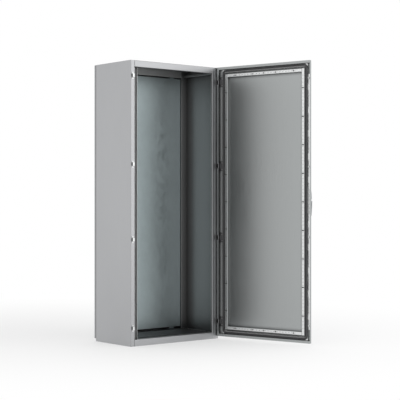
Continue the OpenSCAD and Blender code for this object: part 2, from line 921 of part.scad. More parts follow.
// Upright rail with its low X edge at x0
module upright_rail(x0) {
    x1 = x0 + rail_w;
    mid_x = (x0 + x1) / 2;
    mid_z = (rail_z0 + rail_z1) / 2;
    rows = floor((rail_z1 - rail_z0 - 2 * rail_end) / 2 / rail_pitch);
    slots = floor((rail_z1 - rail_z0 - 2 * rail_end) / 2 / slot_pitch);
    slot_w = rail_w - 2 * rail_bend;
    difference() {
        along_z(rail_z0, rail_z1)
            polygon(folded([[x0, skin_y], [x0, rail_y], [x1, rail_y], [x1, skin_y]], rail_wall, rail_bend));
        for (i = [-rows : rows - 1])
            bar_y(mid_x, mid_z + (i + 0.5) * rail_pitch, rail_hole_d, rail_y - rail_wall - cut, rail_y + cut);
        for (i = [-slots : slots])
            block([mid_x - slot_w / 2, rail_y - rail_wall - cut, mid_z + i * slot_pitch - slot_h / 2],
                [mid_x + slot_w / 2, rail_y + cut, mid_z + i * slot_pitch + slot_h / 2]);
    }
}

// Cross rail between the two upright rails with its low Z edge at z0
module cross_rail(z0) {
    x0 = lock_rail_x + rail_w + seat_gap;
    x1 = hinge_rail_x - seat_gap;
    z1 = z0 + rail_w;
    mid_x = (x0 + x1) / 2;
    mid_z = (z0 + z1) / 2;
    reach = (x1 - x0) / 2 - rail_end;
    rows = floor(reach / rail_pitch);
    ports = [for (p = [-port_outer, -port_inner, 0, port_inner, port_outer]) if (abs(p) < reach) mid_x + p];
    difference() {
        along_x(x0, x1)
            polygon(folded([[skin_y, z0], [rail_y, z0], [rail_y, z1], [skin_y, z1]], rail_wall, rail_bend));
        for (i = [-rows : rows - 1])
            bar_y(mid_x + (i + 0.5) * rail_pitch, mid_z, rail_hole_d, rail_y - rail_wall - cut, rail_y + cut);
        for (p = ports)
            bar_y(p, mid_z, rail_port_d, rail_y - rail_wall - cut, rail_y + cut);
    }
}

module door_rail_top() {
    color(bright) on_door() cross_rail(rail_z1 - rail_w);
}

module door_rail_bottom() {
    color(bright) on_door() cross_rail(rail_z0);
}

module door_rail_hinge() {
    color(bright) on_door() upright_rail(hinge_rail_x);
}

module door_rail_lock() {
    color(bright) on_door() upright_rail(lock_rail_x);
}

// Hinges

module hinge_screw_holes(y1) {
    for (p = hinge_points, z = [-hinge_screw_z, hinge_screw_z])
        bar_y(-hinge_screw_x, door_mid_z + p + z, hinge_screw_d + hole_gap, front_y - cut, y1);
}

// Body half of one hinge: foot on the front flange, leg and knuckle
module hinge_base() {
    h = body_knuckle_h / 2;
    y1 = front_y - base_leaf_t;
    difference() {
        union() {
            block([hinge_x - base_leaf_x0, y1, -h], [hinge_x + base_leaf_x1, front_y, h]);
            block([hinge_x - leaf_t / 2, hinge_y, -h], [hinge_x + leaf_t / 2, front_y - base_leaf_t / 2, h]);
            bar_z(hinge_x, hinge_y, 2 * knuckle_r, -h, h);
        }
        bar_z(hinge_x, hinge_y, pin_d + 2 * run_gap, -h - cut, h + cut);
        for (z = [-hinge_screw_z, hinge_screw_z])
            bar_y(hinge_screw_x, z, hinge_screw_d + hole_gap, y1 - cut, front_y + cut);
    }
}

module hinge_bases() {
    color(brushed) for (p = hinge_points) translate([0, 0, door_mid_z + p]) hinge_base();
}

module hinge_screws() {
    color(bright) for (p = hinge_points, z = [-hinge_screw_z, hinge_screw_z])
        translate([hinge_screw_x, front_y - base_leaf_t, door_mid_z + p + z]) rotate([90, 0, 0])
            screw(hinge_screw_d, base_leaf_t + wall + 5);
}

module hinge_pins() {
    top = leaf_h / 2 + seat_gap;
    color(bright) for (p = hinge_points) translate([hinge_x, hinge_y, door_mid_z + p]) {
        bar_z(0, 0, pin_d, -leaf_h / 2 - 1, top + pin_head_t / 2);
        bar_z(0, 0, pin_head_d, top, top + pin_head_t);
    }
}

// Door half of one hinge: foot on the skin with two rivets and a hole, two webs and two knuckles
module hinge_leaf() {
    mid = (body_knuckle_h + door_knuckle_h) / 2 + knuckle_gap;
    h = door_knuckle_h / 2;
    difference() {
        union() {
            block([hinge_x - leaf_x0, skin_y, -leaf_h / 2], [hinge_x + leaf_x1, skin_y + leaf_t, leaf_h / 2]);
            for (z = [-rivet_z, rivet_z])
                bar_y(rivet_x, z, rivet_d, skin_y + leaf_t / 2, skin_y + leaf_t + rivet_h);
            for (z = [-mid, mid]) {
                block([hinge_x - leaf_t / 2, skin_y, z - h], [hinge_x + leaf_t / 2, hinge_y, z + h]);
                bar_z(hinge_x, hinge_y, 2 * knuckle_r, z - h, z + h);
            }
        }
        bar_z(hinge_x, hinge_y, pin_d + 2 * run_gap, -leaf_h, leaf_h);
        bar_y(rivet_x, 0, leaf_hole_d, skin_y - cut, skin_y + leaf_t + cut);
    }
}

module hinge_leaves() {
    color(brushed) on_door() for (p = hinge_points) translate([0, 0, door_mid_z + p]) hinge_leaf();
}

// Lock

// C-shaped catch on the front flange, open towards the side wall; x is measured from the rod axis
module lock_catch() {
    y_base = front_y - catch_base_t;
    x1 = catch_leg_x + catch_leg_t;
    block([catch_x0, y_base, -catch_half_h], [x1, front_y, catch_half_h]);
    block([catch_leg_x, tongue_y1 - tongue_t, -tongue_half_h],
        [x1, front_y - catch_base_t / 2, tongue_half_h]);
    block([catch_x0, tongue_y1 - tongue_t, -tongue_half_h], [x1, tongue_y1, tongue_half_h]);
}

module lock_catches() {
    color(bright) for (p = lock_points, up = [-1, 1])
        translate([rod_x, 0, door_mid_z + up * p]) lock_catch();
}

// Stub-tooth involute pinion, with a tooth on +X
base_r = gear_r * cos(pressure_angle);
tip_r = gear_r + tooth_height;
root_r = gear_r - tooth_root;
half_tooth_angle = (tooth_pitch - backlash) / 4 / gear_r * 180 / PI;
flank_start = half_tooth_angle + (tan(pressure_angle) * 180 / PI - pressure_angle);
flank_roll = sqrt(pow(tip_r / base_r, 2) - 1) * 180 / PI;
flank_steps = 4;

// Point of the involute after rolling by t degrees, turned back to the start of the flank
function flank(t) =
    let (a = t - flank_start, roll = t * PI / 180)
    base_r * [cos(a) + roll * sin(a), sin(a) - roll * cos(a)];

// One tooth about angle a, from root to root
function tooth(a) =
    let (lower = concat([root_r * [cos(flank_start), -sin(flank_start)]],
            [for (i = [0 : flank_steps]) flank(i * flank_roll / flank_steps)]),
        both = concat(lower, [for (p = reversed(lower)) [p.x, -p.y]]))
    [for (p = both) [p.x * cos(a) - p.y * sin(a), p.x * sin(a) + p.y * cos(a)]];

module lock_pinion() {
    color(brushed) on_door() translate([rod_x, 0, lock_z]) difference() {
        along_y(rod_y0 - 0.3, rod_y1 + 0.3)
            polygon([for (i = [0 : gear_teeth - 1]) each tooth(i * 360 / gear_teeth)]);
        bar_y(0, 0, spindle_d + 2 * run_gap, rod_y0 - cut, rod_y1 + cut);
    }
}

// Outline of a rack that meshes with the pinion from +X, with a gap at z = 0
function rack_outline(z_far) =
    let (tip_x = gear_r - tooth_height,
        root_x = gear_r + tooth_root,
        half_pitch = (tooth_pitch - backlash) / 4,
        half_tip = half_pitch - tooth_height * tan(pressure_angle),
        half_root = half_pitch + tooth_root * tan(pressure_angle),
        teeth = [for (i = [0 : rack_teeth - 1]) (i - rack_teeth / 2 + 1) * tooth_pitch],
        first = teeth[0] - tooth_pitch)
    concat([[rack_x, first], [root_x, first]],
        [for (z = teeth) each [[root_x, z - half_root], [tip_x, z - half_tip],
            [tip_x, z + half_tip], [root_x, z + half_root]]],
        [[root_x, z_far], [rack_x, z_far]]);

// Lock rod above the pinion: rack, shoulder, flat bar and two roller ears on the ear side.
// Heights are measured from the spindle; rollers lists the heights of the rollers.
module lock_rod(z_end, rollers, ear_side) {
    along_y(rod_y0, rod_y1) polygon(rack_outline(rod_start + shoulder_h));
    block([-rod_w / 2, rod_y0, rod_start], [rack_x, rod_y1, rod_start + shoulder_h]);
    block([-rod_w / 2, rod_y0, rod_start], [rod_w / 2, rod_y1, z_end]);
    for (z = rollers) mirror([ear_side < 0 ? 0 : 1, 0, 0]) {
        block([ear_x - ear_t, rod_y0, z - ear_half_h], [ear_x + cut, rod_y1, z + ear_half_h]);
        block([ear_x - ear_t, rod_y0, z - ear_half_h], [ear_x, roller_y + roller_d / 2, z + ear_half_h]);
        bar_x(roller_y, z, roller_d, ear_x - ear_t / 2, roller_end);
    }
}

module upper_rod() {
    color(bright) on_door() translate([rod_x, 0, lock_z])
        lock_rod(rod_end - lock_rise, [for (p = lock_points) p - roller_short - lock_rise], -1);
}

// The lower rod is drawn as an upper one and turned half round, so its rack meets the pinion's other side
module lower_rod() {
    color(bright) on_door() translate([rod_x, 0, lock_z]) rotate([0, 180, 0])
        lock_rod(rod_end + lock_rise, [for (p = lock_points) p - roller_short + lock_rise], 1);
}

// Guide blocks that hold the rods on the skin
module rod_guides() {
    w = rod_w / 2 + guide_gap;
    h = guide_h / 2;
    color(brushed) on_door() for (up = [-1, 1], i = [0 : guide_count - 1])
        translate([rod_x, 0, door_mid_z + up * (guide_first + i * guide_pitch)]) difference() {
            block([-w - guide_wall, skin_y, -h], [w + guide_wall, rod_y1 + guide_gap + guide_wall, h]);
            block([-w, rod_y0 - guide_gap, -h - cut], [w, rod_y1 + guide_gap, h + cut]);
        }
}

// Positions of the lock cover's two posts, on a diagonal that the racks leave free
cover_posts = [[-cover_post_x, cover_post_z], [cover_post_x, -cover_post_z]];

// Plate over the pinion, on two posts
module lock_cover() {
    color(brushed) on_door() translate([rod_x, 0, lock_z]) difference() {
        union() {
            block([cover_x0, cover_y, -cover_half_h], [cover_x1, cover_y + cover_t, cover_half_h]);
            for (p = cover_posts)
                bar_y(p.x, p.y, post_d, skin_y, cover_y + cover_t / 2);
        }
        bar_y(0, 0, spindle_d + 2 * run_gap, cover_y - cut, cover_y + cover_t + cut);
        for (z = cover_windows)
            translate([0, cover_y + cover_t + cut, z]) rotate([90, 0, 0])
                cylinder(r = cover_window_r, h = cover_t + 2 * cut, $fn = 4);
    }
}

module lock_cover_screws() {
    color(bright) on_door() translate([rod_x, 0, lock_z]) for (p = cover_posts)
        bar_y(p.x, p.y, post_d, cover_y + cover_t, cover_y + cover_t + 2);
}

// Handle

module handle_escutcheon() {
    corner_r = 6;
    color(die_cast) on_door() translate([rod_x, 0, lock_z]) difference() {
        along_y(escutcheon_y, face_y)
            polygon(rounded_outline([-escutcheon_w / 2, escutcheon_top - escutcheon_h],
                [escutcheon_w / 2, escutcheon_top], corner_r));
        bar_y(0, 0, spindle_d + 2 * run_gap, escutcheon_y - cut, face_y + cut);
    }
}

// Lever that hangs down from its hub
module swing_handle() {
    grip_r = 5;
    color(die_cast) on_door() translate([rod_x, 0, lock_z]) difference() {
        union() {
            bar_y(0, 0, hub_d, lever_y0, escutcheon_y - hub_gap);
            along_y(lever_y0, lever_y1)
                polygon(rounded_outline([-lever_w / 2, -lever_len], [lever_w / 2, 0], grip_r));
        }
        bar_y(0, 0, insert_d + 2 * run_gap, lever_y0 - cut, lever_y0 + insert_depth);
        bar_y(0, 0, spindle_d + 2 * run_gap, escutcheon_y - hub_gap - spindle_seat, face_y);
    }
}

module lock_spindle() {
    color(brushed) on_door()
        bar_y(rod_x, lock_z, spindle_d, escutcheon_y - hub_gap - spindle_seat + seat_gap, cover_y + cover_t);
}

// Insert with a socket for a double-bit key
module key_insert() {
    key_pin_d = 2.4;
    socket_d = 6;
    bit_w = 1.8;
    bit_r = 4.4;
    depth = 4.5;
    color(bright) on_door() translate([rod_x, 0, lock_z]) difference() {
        bar_y(0, 0, insert_d, lever_y0, lever_y0 + insert_depth - seat_gap);
        difference() {
            union() {
                bar_y(0, 0, socket_d, lever_y0 - cut, lever_y0 + depth);
                block([-bit_w / 2, lever_y0 - cut, -bit_r], [bit_w / 2, lever_y0 + depth, bit_r]);
            }
            bar_y(0, 0, key_pin_d, lever_y0 + 0.5, lever_y0 + depth + cut);
        }
    }
}

left_side_panel();
right_side_panel();
roof_panel();
front_sill();
rear_sill();
base_rail_front();
base_rail_rear();
base_rail_left();
base_rail_right();
gland_gasket();
gland_plate_front();
gland_plate_middle();
gland_plate_rear();
gland_screws();
upright_front_left();
upright_front_right();
upright_rear_left();
upright_rear_right();
top_rail_left();
top_rail_right();
top_rail_rear();
mounting_plate();
plate_foot_left();
plate_foot_right();
plate_hanger_left();
plate_hanger_right();
plate_bolts();
rear_panel();
rear_gasket();
rear_panel_screws();
roof_plugs();
lock_catches();
hinge_bases();
hinge_screws();
hinge_pins();
door_panel();
hinge_leaves();
gasket_seat();
door_gasket();
door_rail_top();
door_rail_bottom();
door_rail_hinge();
door_rail_lock();
rod_guides();
lock_cover();
lock_cover_screws();
handle_escutcheon();
swing_handle();
lock_spindle();
lock_pinion();
key_insert();
upper_rod();
lower_rod();
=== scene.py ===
# %% [markdown]
# # A stainless steel cabinet with its door open
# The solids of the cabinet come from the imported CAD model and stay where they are. This lesson gives them their
# finishes, replaces the soft and moulded pieces with better shapes, and sets up a small white studio with the
# camera at the photograph's viewing angle.

# %% Load the frame
import json
import math

import bmesh
import bpy
import numpy as np
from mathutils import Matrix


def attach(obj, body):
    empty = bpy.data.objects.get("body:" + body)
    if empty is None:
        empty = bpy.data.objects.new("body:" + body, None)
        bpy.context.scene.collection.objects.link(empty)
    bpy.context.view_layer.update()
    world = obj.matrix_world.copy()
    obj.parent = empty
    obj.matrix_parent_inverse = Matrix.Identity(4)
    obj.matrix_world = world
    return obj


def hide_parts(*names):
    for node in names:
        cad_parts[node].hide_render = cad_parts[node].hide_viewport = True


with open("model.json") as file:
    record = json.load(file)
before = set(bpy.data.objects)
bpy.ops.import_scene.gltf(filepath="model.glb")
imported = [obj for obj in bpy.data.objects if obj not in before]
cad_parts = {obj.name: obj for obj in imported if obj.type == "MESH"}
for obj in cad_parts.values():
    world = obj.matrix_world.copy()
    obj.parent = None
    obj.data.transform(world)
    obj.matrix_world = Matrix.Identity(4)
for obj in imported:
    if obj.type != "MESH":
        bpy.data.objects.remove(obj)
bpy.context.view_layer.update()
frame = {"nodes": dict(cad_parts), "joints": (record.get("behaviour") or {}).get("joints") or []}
scene = bpy.context.scene
scene.view_settings.view_transform = "Standard"

# %% [markdown]
# ## The camera
# The cabinet's upright edges stay upright in the picture, so the camera was held level. Its height, its distance
# and its turn were worked out from the corners of the cabinet and the door. A long lens keeps the perspective flat.

# %% Camera
CAMERA_PLACE = (-5.181, -6.770, 1.023)
CAMERA_YAW = math.radians(-39.51)
CAMERA_LENS = 104.7
SENSOR_WIDTH = 36.0
CLIP_END = 200.0

camera_data = bpy.data.cameras.new("camera")
camera_data.sensor_width = SENSOR_WIDTH
camera_data.lens = CAMERA_LENS
camera_data.clip_end = CLIP_END
camera = bpy.data.objects.new("camera", camera_data)
camera.location = CAMERA_PLACE
camera.rotation_euler = (math.pi / 2, 0.0, CAMERA_YAW)
scene.collection.objects.link(camera)
scene.camera = camera
print("camera at", CAMERA_PLACE, "with a lens of", CAMERA_LENS, "mm")

# %% [markdown]
# ## Tools for finishes
# Every finish is a graph of nodes, and wiring such graphs one link at a time gets long. These helpers make a node,
# give its inputs their values and hand back its result. An input takes a number, a colour, a vector or the output
# of another node.

# %% Node helpers
def new_finish(name):
    """A new material, its node tree and its Principled shader."""
    finish = bpy.data.materials.new(name)
    finish.use_nodes = True
    tree = finish.node_tree
    return finish, tree, tree.nodes["Principled BSDF"]


def feed(tree, socket, value):
    """Links an input to another node's output, or sets it to a value."""
    if isinstance(value, bpy.types.NodeSocket):
        tree.links.new(value, socket)
    else:
        socket.default_value = value


def wire(tree, node, **inputs):
    """Feeds a node's inputs, called by their names with _ for a space."""
    for key, value in inputs.items():
        feed(tree, node.inputs[key.replace("_", " ")], value)


def add_node(tree, kind, settings=None, **inputs):
    """A node of that kind with its settings and its inputs."""
    node = tree.nodes.new(kind)
    for key, value in (settings or {}).items():
        setattr(node, key, value)
    wire(tree, node, **inputs)
    return node


def number(tree, operation, *values):
    """The result of a Math node, whose inputs take the values in order."""
    node = add_node(tree, "ShaderNodeMath", {"operation": operation})
    for socket, value in zip(node.inputs, values):
        feed(tree, socket, value)
    return node.outputs["Value"]


def vector(tree, operation, *values, result="Vector"):
    """The result of a Vector Math node: a vector, or a number where result is Value."""
    node = add_node(tree, "ShaderNodeVectorMath", {"operation": operation})
    for socket, value in zip(node.inputs, values):
        feed(tree, socket, value)
    return node.outputs[result]


# %% [markdown]
# The next helpers stand for the steps that nearly every finish takes: a noise at a given size, a ramp from one
# range of values to another, and a mix of two colours. One more paints shade into a colour: it darkens folds and
# corners, where other surfaces are close and shade falls. The Ambient Occlusion node measures how close other
# surfaces are, and gives that painted shade.

# %% Noise, ramps and mixes
MIX_SOCKETS = {"FLOAT": (2, 3, 0), "RGBA": (6, 7, 2)}
NOISE_LOW, NOISE_HIGH = 0.3, 0.7
SHADE_SAMPLES = 8
SHADE_FULL = 0.4


def own_place(tree):
    """The point's Object coordinates, in metres."""
    return add_node(tree, "ShaderNodeTexCoord").outputs["Object"]


def stretched_place(tree, scale):
    """Object coordinates multiplied by a scale for each axis."""
    return add_node(tree, "ShaderNodeMapping", Vector=own_place(tree), Scale=scale).outputs["Vector"]


def noise_value(tree, scale, detail=2.0, roughness=0.5):
    """A noise between 0 and 1 whose cells are 1/scale metres along each axis."""
    noise = add_node(tree, "ShaderNodeTexNoise", Vector=stretched_place(tree, scale), Scale=1.0, Detail=detail,
                     Roughness=roughness)
    return noise.outputs["Fac"]


def ramp(tree, value, low, high, start=0.0, end=1.0, kind="LINEAR"):
    """low where the value is at most start, high where it is at least end, and a ramp between them."""
    node = add_node(tree, "ShaderNodeMapRange", {"interpolation_type": kind}, Value=value, From_Min=start,
                    From_Max=end, To_Min=low, To_Max=high)
    return node.outputs["Result"]


def spread(tree, noise, low, high):
    """A noise spread from low to high over the range where it mostly lies."""
    return ramp(tree, noise, low, high, NOISE_LOW, NOISE_HIGH)


def mix(tree, factor, first, second, kind="RGBA", blend="MIX"):
    """The first value where the factor is 0 and the second where it is 1; kind is FLOAT for numbers."""
    node = add_node(tree, "ShaderNodeMix", {"data_type": kind, "blend_type": blend})
    first_slot, second_slot, result = MIX_SOCKETS[kind]
    for slot, value in ((0, factor), (first_slot, first), (second_slot, second)):
        feed(tree, node.inputs[slot], value)
    return node.outputs[result]


def between(tree, factor, dark, light):
    """A colour that goes from dark to light with the factor."""
    return mix(tree, factor, (*dark, 1.0), (*light, 1.0))


def varied(tree, factor, tone, contrast):
    """A tone that goes with the factor from 1 - contrast to 1 + contrast times itself."""
    dark = tuple(c * (1 - contrast) for c in tone)
    light = tuple(c * (1 + contrast) for c in tone)
    return between(tree, factor, dark, light)


def painted_corner_shade(tree, colour, reach, depth):
    """A colour that falls to depth times itself where other surfaces are close all round, within reach metres:
    painted shade in folds and corners.
    """
    near = add_node(tree, "ShaderNodeAmbientOcclusion", {"samples": SHADE_SAMPLES}, Distance=reach)
    shade = ramp(tree, near.outputs["AO"], depth, 1.0, SHADE_FULL)
    return mix(tree, 1.0, colour, shade, blend="MULTIPLY")


# %% [markdown]
# ## Where a point lies on the sheet
# Only the outside of the shell is ground. Its inside keeps the duller face that the sheet has from the mill, and its
# darker tone there is partly painted shade of the inside of the cabinet. One sheet is one piece here, so its finish
# has to ask for each point whether it lies within the inner box of the shell.
# The door has a groove between its hinge edge and its seal, and the floor of that groove is half matt. The finish
# finds it by its distance from the hinge axis. Object coordinates stay with a piece when it moves, so the strip
# swings with the door.

# %% Inside of the shell, groove of the door
SHELL_MIDDLE = (0.0, 0.0, 0.9)
SHELL_HALF = (0.3992, 0.2142, 1.0992)
GROOVE_FACE, GROOVE_MARGIN = -0.0085, 0.0007
GROOVE_WIDTH = 0.045

hinge = next(joint for joint in frame["joints"] if joint["name"] == "door_hinge")
HINGE_PLACE = np.array(hinge["pos_m"])
OPEN_ANGLE = math.radians(-hinge["range_deg"][0])
DOOR_INWARD = (-math.sin(OPEN_ANGLE), math.cos(OPEN_ANGLE), 0.0)
DOOR_ACROSS = (-math.cos(OPEN_ANGLE), -math.sin(OPEN_ANGLE), 0.0)


def within_shell(tree):
    """1 inside the shell's inner box and 0 outside it: inside, the largest of |p - middle| - half is below zero."""
    offset = vector(tree, "SUBTRACT", own_place(tree), SHELL_MIDDLE)
    past = vector(tree, "SUBTRACT", vector(tree, "ABSOLUTE", offset), SHELL_HALF)
    axes = add_node(tree, "ShaderNodeSeparateXYZ", Vector=past).outputs
    most = number(tree, "MAXIMUM", number(tree, "MAXIMUM", axes["X"], axes["Y"]), axes["Z"])
    return number(tree, "LESS_THAN", most, 0.0)


def hinge_groove(tree):
    """1 on the floor of the door's groove beside the hinges and 0 elsewhere. There, the distance from the hinge axis
    square to the sheet is that of its inner face, and the distance across the door is below the groove's width."""
    offset = vector(tree, "SUBTRACT", own_place(tree), tuple(HINGE_PLACE))
    inward = vector(tree, "DOT_PRODUCT", offset, DOOR_INWARD, result="Value")
    across = vector(tree, "DOT_PRODUCT", offset, DOOR_ACROSS, result="Value")
    on_face = number(tree, "COMPARE", inward, GROOVE_FACE, GROOVE_MARGIN)
    return number(tree, "MULTIPLY", on_face, number(tree, "LESS_THAN", across, GROOVE_WIDTH))


print(f"door open by {math.degrees(OPEN_ANGLE):.1f} degrees about", HINGE_PLACE)

# %% [markdown]
# ## Brushed stainless sheet
# The sheet is ground with a belt, so it has fine straight scratches that run one way, and under them the slight
# unevenness of thin sheet. Modelled scratches would need far too many faces. A noise that is squeezed across the
# grain and stretched along it gives them instead. A second, broad noise moves the tone and the roughness a little
# from place to place, and a third, very broad one bends the reflections as thin sheet does.

# %% Ground sheet
GRAIN_FINE, GRAIN_LONG = 700.0, 5.0
GRAIN_DETAIL, GRAIN_ROUGHNESS = 3.0, 0.6
GRAIN_HEIGHT, GRAIN_STRENGTH = 0.00004, 0.25
PATCH_SCALE, PATCH_SHARE = (2.2, 2.2, 1.3), 0.4
SWELL_SCALE, SWELL_DETAIL, SWELL_HEIGHT = (1.6, 1.6, 0.9), 1.0, 0.0004
ROUGH_SPREAD = 0.05


def sheet_metal(name, tone, axis, rough, reach, depth=0.3, contrast=0.06, mill_and_shade=None, matt=0.0):
    """Ground metal sheet: tone is its colour, axis the way its scratches run, rough its mean roughness. In corners,
    within reach, painted shade makes its tone fall to depth times itself. The pair given for the inside of the shell
    holds its tone and roughness where they differ: its rougher face is real and its darker tone is partly painted
    shade, and only the inside then gets the painted corner shade. matt is the share of the metal gloss that the
    groove beside the hinges lacks."""
    finish, tree, shader = new_finish(name)
    grain = tuple(GRAIN_LONG if a == axis else GRAIN_FINE for a in "XYZ")
    scratches = noise_value(tree, grain, GRAIN_DETAIL, GRAIN_ROUGHNESS)
    patches = noise_value(tree, PATCH_SCALE)
    mixed = spread(tree, mix(tree, PATCH_SHARE, scratches, patches, "FLOAT"), 0.0, 1.0)

    def face(face_tone, face_rough):
        """Colour and roughness of one face of the sheet."""
        uneven = ramp(tree, mixed, face_rough - ROUGH_SPREAD, face_rough + ROUGH_SPREAD)
        return varied(tree, mixed, face_tone, contrast), uneven

    colour, roughness = face(tone, rough)
    if mill_and_shade:
        inside = within_shell(tree)
        mill_and_shade_colour, mill_rough = face(*mill_and_shade)
        # Inside the shell: the mill face, whose darker tone is partly painted shade, with painted shade in its
        # corners.
        colour = mix(tree, inside, colour, painted_corner_shade(tree, mill_and_shade_colour, reach, depth))
        roughness = mix(tree, inside, roughness, mill_rough, "FLOAT")
    else:
        # Elsewhere painted shade darkens the colour in corners.
        colour = painted_corner_shade(tree, colour, reach, depth)
    swell = noise_value(tree, SWELL_SCALE, SWELL_DETAIL)
    broad = add_node(tree, "ShaderNodeBump", Strength=1.0, Distance=SWELL_HEIGHT, Height=swell)
    fine = add_node(tree, "ShaderNodeBump", Strength=GRAIN_STRENGTH, Distance=GRAIN_HEIGHT, Height=scratches,
                    Normal=broad.outputs["Normal"])
    gloss = ramp(tree, hinge_groove(tree), 1.0, 1.0 - matt) if matt else 1.0
    wire(tree, shader, Base_Color=colour, Roughness=roughness, Metallic=gloss, Normal=fine.outputs["Normal"])
    return finish


# %% [markdown]
# The shell, the door, the frame and the small parts are all such sheet or bar, with their own tone and roughness.
# The upright and the rails are zinc-plated, and the rods and the seat of the seal are the brightest of them. Some
# pieces take a copy of their metal that carries painted light and shade: the left front upright, the rear top rail,
# the rods and the seat of the seal are lighter copies, for painted light; the door rail beside the hinges is a darker
# copy and the gland plates are near black, for painted shade. Parts that stand in a corner get a longer reach of
# painted shade than parts that stand free.

# %% Sheet finishes
STAINLESS = (0.425, 0.43, 0.44)
# The inside of the shell: the rougher mill face, with a darker tone that is partly painted shade.
MILL_AND_SHADE = ((0.29, 0.292, 0.295), 0.42)

# In each finish, reach and depth set how far and how deep its painted corner shade goes.
shell_upright = sheet_metal("stainless_shell_upright_grain", STAINLESS, "Z", 0.34, reach=0.11, depth=0.35, mill_and_shade=MILL_AND_SHADE)
shell_level = sheet_metal("stainless_shell_level_grain", STAINLESS, "X", 0.34, reach=0.11, depth=0.75, mill_and_shade=MILL_AND_SHADE)
door_sheet = sheet_metal("stainless_door", (0.388, 0.403, 0.403), "Z", 0.31, reach=0.024, depth=0.2, matt=0.65)
# The gland plates: a near-black tone that is painted shade of the base.
base_sheet_painted_shade = sheet_metal("base_steel_painted_shade", (0.08, 0.082, 0.084), "X", 0.5, reach=0.03, depth=0.5)
frame_sheet = sheet_metal("frame_steel", (0.36, 0.365, 0.365), "Z", 0.42, reach=0.08, depth=0.4)
# The left front upright: a lighter copy of the frame steel, painted light.
upright_sheet_painted_light = sheet_metal("upright_steel_painted_light", (0.62, 0.625, 0.625), "Z", 0.42, reach=0.02, depth=0.8)
bright_zinc = sheet_metal("bright_zinc", (0.76, 0.77, 0.77), "Z", 0.36, reach=0.02, contrast=0.04)
# A zinc darker than the other door rails and lighter than the frame steel: painted shade on the hinge-side door rail,
# painted light on the rear top rail.
rail_zinc_painted_light_and_shade = sheet_metal("zinc_painted_light_and_shade", (0.52, 0.53, 0.53), "Z", 0.42, reach=0.02, depth=0.7, contrast=0.04)
# The rods and the seat of the seal: a lighter copy of the zinc with little corner shade, painted light.
zinc_painted_light = sheet_metal("zinc_painted_light", (0.90, 0.91, 0.91), "Z", 0.42, reach=0.005, depth=0.9, contrast=0.04)
turned_steel = sheet_metal("turned_steel", (0.62, 0.62, 0.61), "Z", 0.32, reach=0.01, contrast=0.05)
dark_steel = sheet_metal("dark_hinge_steel", (0.20, 0.20, 0.205), "Z", 0.42, reach=0.02, contrast=0.08)
print("sheet finishes:", sorted(m.name for m in bpy.data.materials if m.use_nodes))

# %% [markdown]
# ## Zinc-coated plate
# The mounting plate is steel with a rolled zinc coat: bluish grey, duller than the stainless sheet, with the faint
# patches of the coat. A Voronoi pattern gives the patches, each with its own slight tone.

# %% Zinc coat
CELL_SCALE = (55.0, 55.0, 38.0)
CLOUD_SCALE, CLOUD_DETAIL, CLOUD_SHARE = (3.0, 3.0, 2.0), 3.0, 0.6
ZINC_CONTRAST = 0.05
ZINC_ROUGH = (0.32, 0.40)
# Reach and depth of the plate's painted corner shade.
ZINC_REACH, ZINC_DEPTH = 0.02, 0.6


def zinc_coat(name, tone):
    """Zinc-coated steel: flat patches of slightly different tone over a soft cloudiness."""
    finish, tree, shader = new_finish(name)
    cells = add_node(tree, "ShaderNodeTexVoronoi", Vector=stretched_place(tree, CELL_SCALE), Scale=1.0)
    cell_tone = add_node(tree, "ShaderNodeSeparateColor", Color=cells.outputs["Color"]).outputs["Red"]
    cloud = noise_value(tree, CLOUD_SCALE, CLOUD_DETAIL)
    mixed = mix(tree, CLOUD_SHARE, cell_tone, cloud, "FLOAT")
    # Painted shade: the colour darkens in corners, down to ZINC_DEPTH of itself within ZINC_REACH.
    colour = painted_corner_shade(tree, varied(tree, mixed, tone, ZINC_CONTRAST), ZINC_REACH, ZINC_DEPTH)
    wire(tree, shader, Base_Color=colour, Roughness=spread(tree, mixed, *ZINC_ROUGH), Metallic=1.0)
    return finish


zinc_plate = zinc_coat("zinc_plate", (0.505, 0.583, 0.596))
print("plate finish:", zinc_plate.name)

# %% [markdown]
# ## Foam rubber and die-cast metal
# The gaskets are foam with a closed, slightly pitted skin, so they are almost black and dull. A grey sheen is
# painted into the skin's colour where an attribute of the seal's points says so: a painted highlight where light
# catches the foam. The handle is a casting with a satin coat: its fine orange-peel surface comes from a bump of
# small noise.

# %% Foam and casting
PIT_SCALE, PIT_DETAIL, PIT_ROUGHNESS = (900.0, 900.0, 900.0), 3.0, 0.6
PIT_HEIGHT, PIT_STRENGTH = 0.0003, 0.6
FOAM_BLACK = ((0.012, 0.012, 0.013), (0.035, 0.035, 0.037))
# The grey of the painted sheen on the foam.
FOAM_SHEEN = ((0.14, 0.14, 0.14), (0.20, 0.20, 0.202))
FOAM_ROUGH = (0.45, 0.62)
RIPPLE_SCALE = (1400.0, 1400.0, 1400.0)
RIPPLE_HEIGHT, RIPPLE_STRENGTH = 0.0001, 0.3
CAST_CONTRAST = 0.07
CAST_ROUGH = (0.34, 0.46)
CAST_METALLIC = 0.6


def foam_rubber(name):
    """Black foam: small pits in a dull skin. Where the piece's point attribute is above 0, its colour goes to a
    painted grey sheen.
    """
    finish, tree, shader = new_finish(name)
    pits = noise_value(tree, PIT_SCALE, PIT_DETAIL, PIT_ROUGHNESS)
    pitted = spread(tree, pits, 0.0, 1.0)
    painted_sheen = add_node(tree, "ShaderNodeAttribute", {"attribute_name": "painted_sheen"}).outputs["Fac"]
    colour = mix(tree, painted_sheen, between(tree, pitted, *FOAM_BLACK), between(tree, pitted, *FOAM_SHEEN))
    bump = add_node(tree, "ShaderNodeBump", Strength=PIT_STRENGTH, Distance=PIT_HEIGHT, Height=pits)
    wire(tree, shader, Base_Color=colour, Roughness=spread(tree, pits, *FOAM_ROUGH), Normal=bump.outputs["Normal"])
    return finish


